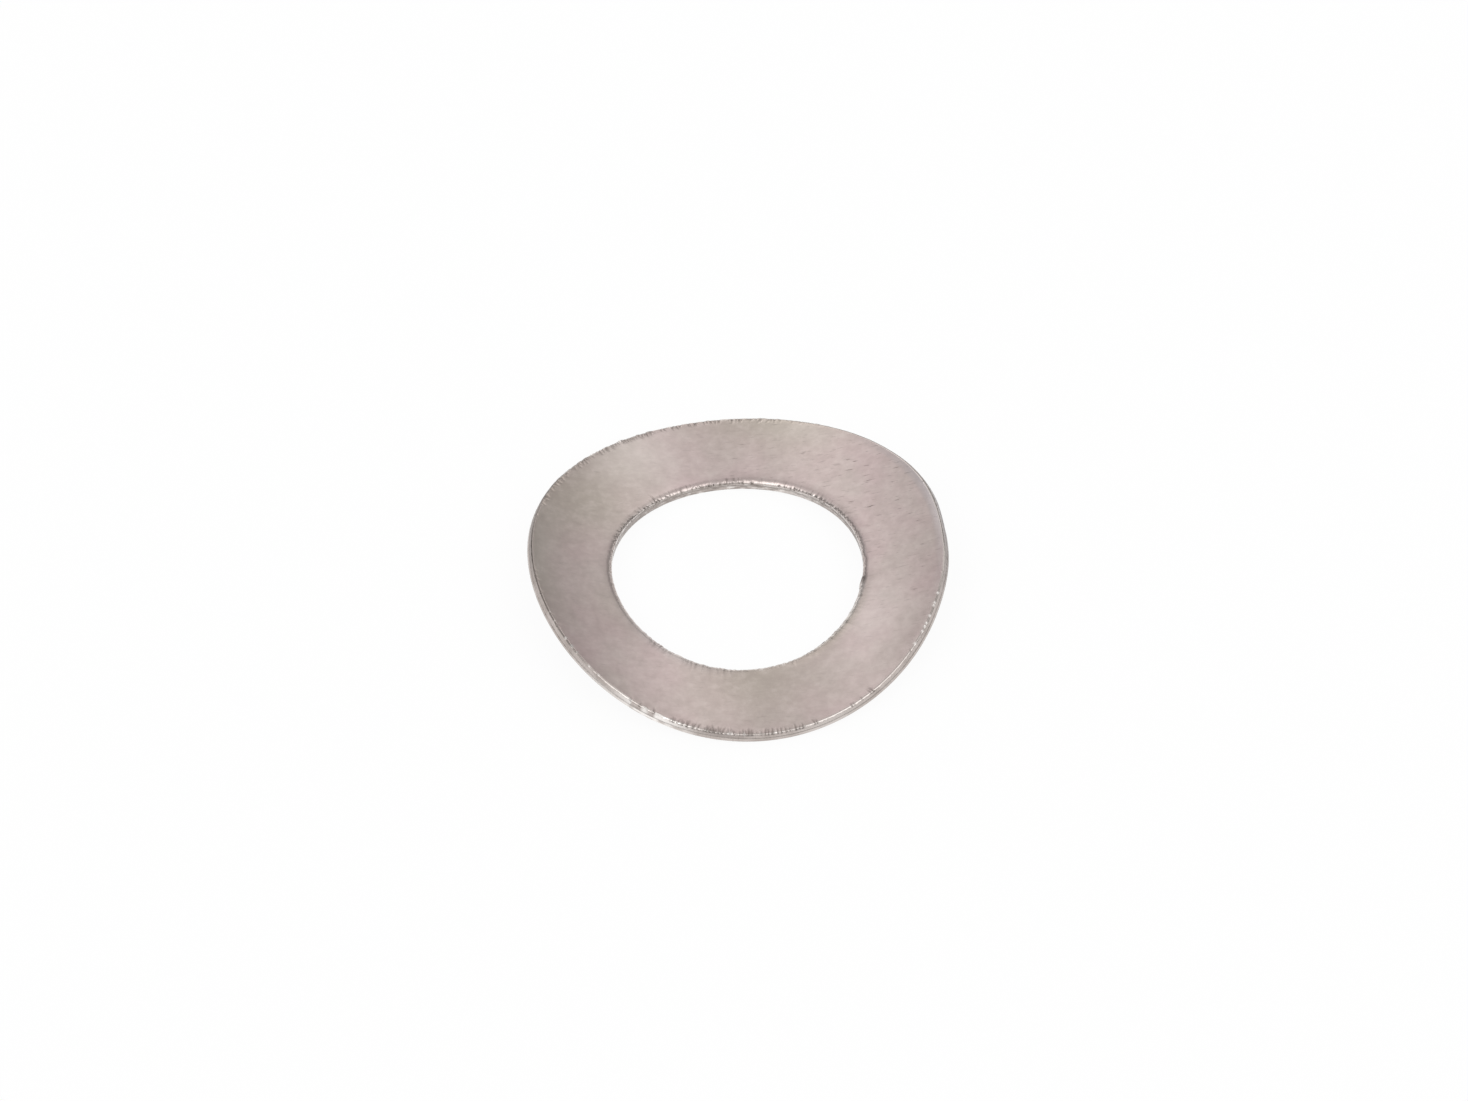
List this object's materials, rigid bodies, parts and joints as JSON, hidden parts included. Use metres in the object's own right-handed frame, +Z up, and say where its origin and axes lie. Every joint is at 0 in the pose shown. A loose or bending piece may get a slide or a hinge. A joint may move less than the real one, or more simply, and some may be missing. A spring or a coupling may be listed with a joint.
{
  "type": "curved spring washer",
  "caption": "Curved spring washer: a flat steel ring bent to one arc, with raised ends that flatten under a bolt head or nut to keep the joint in tension.",
  "frame": {"origin": "on the bore's axis, at the lowest line of the underside, where the washer touches what it lies on", "axes": "+Z up along the bore's axis, X along the arc towards the raised ends, Y along the line of the bend"},
  "size_m": [0.0176, 0.018, 0.0023],
  "materials": {
    "spring_steel": "tumbled satin steel with fine scratches and bright sheared edges"
  },
  "bodies": {
    "root": {"spring_washer": "spring_steel"}
  },
  "joints": []
}
